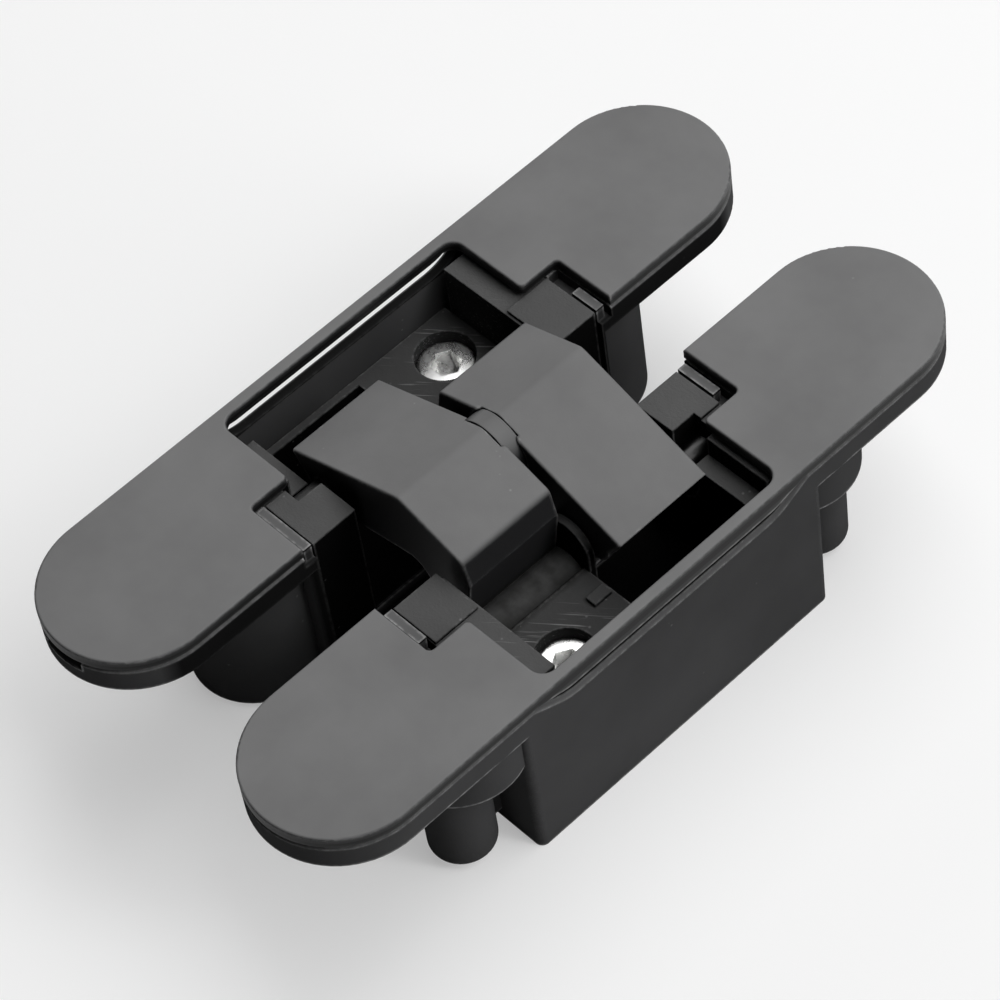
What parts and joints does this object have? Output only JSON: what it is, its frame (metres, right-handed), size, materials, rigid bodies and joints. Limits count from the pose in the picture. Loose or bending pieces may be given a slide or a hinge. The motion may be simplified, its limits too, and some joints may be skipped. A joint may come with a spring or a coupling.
{
  "type": "concealed hinge",
  "caption": "Concealed cross-arm door hinge lying open: round-ended mortise leaves with clip-on covers, joined by roof-shaped arms that fold the leaves face to face.",
  "frame": {"origin": "centre of the hinge lying open at 180 degrees, on the plane under both housings", "axes": "+X from the frame leaf to the door leaf, +Y along the leaves and all pivot pins, +Z out of the covers"},
  "size_m": [0.066, 0.12, 0.0372],
  "materials": {
    "cover_coat": "satin black coat on a flat plate",
    "body_coat": "satin black coat on a zinc die casting",
    "carrier_coat": "matte black coat on a rough zinc die casting",
    "arm_coat": "satin black coat on a zinc die casting",
    "bright_screw": "bright zinc-plated steel",
    "pin_steel": "ground and blackened steel",
    "bush_polymer": "dark bearing polymer",
    "spacer_polymer": "black bearing polymer"
  },
  "bodies": {
    "frame_leaf": {"frame_housing": "body_coat", "frame_cover": "cover_coat", "frame_carrier": "carrier_coat", "frame_clamp_screw": "bright_screw", "frame_adjusters": "bright_screw", "frame_pivot_pin": "pin_steel"},
    "frame_link": {"frame_arm": "arm_coat", "frame_pivot_bush": "bush_polymer", "frame_centre_bush": "bush_polymer", "frame_slide_pin": "pin_steel", "centre_pin": "pin_steel", "spacer_washer": "spacer_polymer"},
    "door_link": {"door_arm": "arm_coat", "door_pivot_bush": "bush_polymer", "door_centre_bush": "bush_polymer", "door_slide_pin": "pin_steel"},
    "door_leaf": {"door_housing": "body_coat", "door_cover": "cover_coat", "door_carrier": "carrier_coat", "door_clamp_screw": "bright_screw", "door_adjusters": "bright_screw", "door_pivot_pin": "pin_steel"}
  },
  "joints": [
    {"name": "frame_arm_swing", "type": "hinge", "parent": "frame_leaf", "child": "frame_link", "pos_m": [-0.013, 0, 0.0175], "axis": [0, -1, 0], "range_deg": [0, 75]},
    {"name": "arm_fold", "type": "hinge", "parent": "frame_link", "child": "door_link", "pos_m": [0, 0, 0.032], "axis": [0, -1, 0], "range_deg": [0, 30]},
    {"name": "door_leaf_swing", "type": "hinge", "parent": "door_link", "child": "door_leaf", "pos_m": [0.013, 0, 0.0175], "axis": [0, -1, 0], "range_deg": [0, 75]}
  ],
  "couplings": [
    {"joint": "arm_fold", "follows": "frame_arm_swing", "ratio": 0.4},
    {"joint": "door_leaf_swing", "follows": "frame_arm_swing", "ratio": 1}
  ]
}
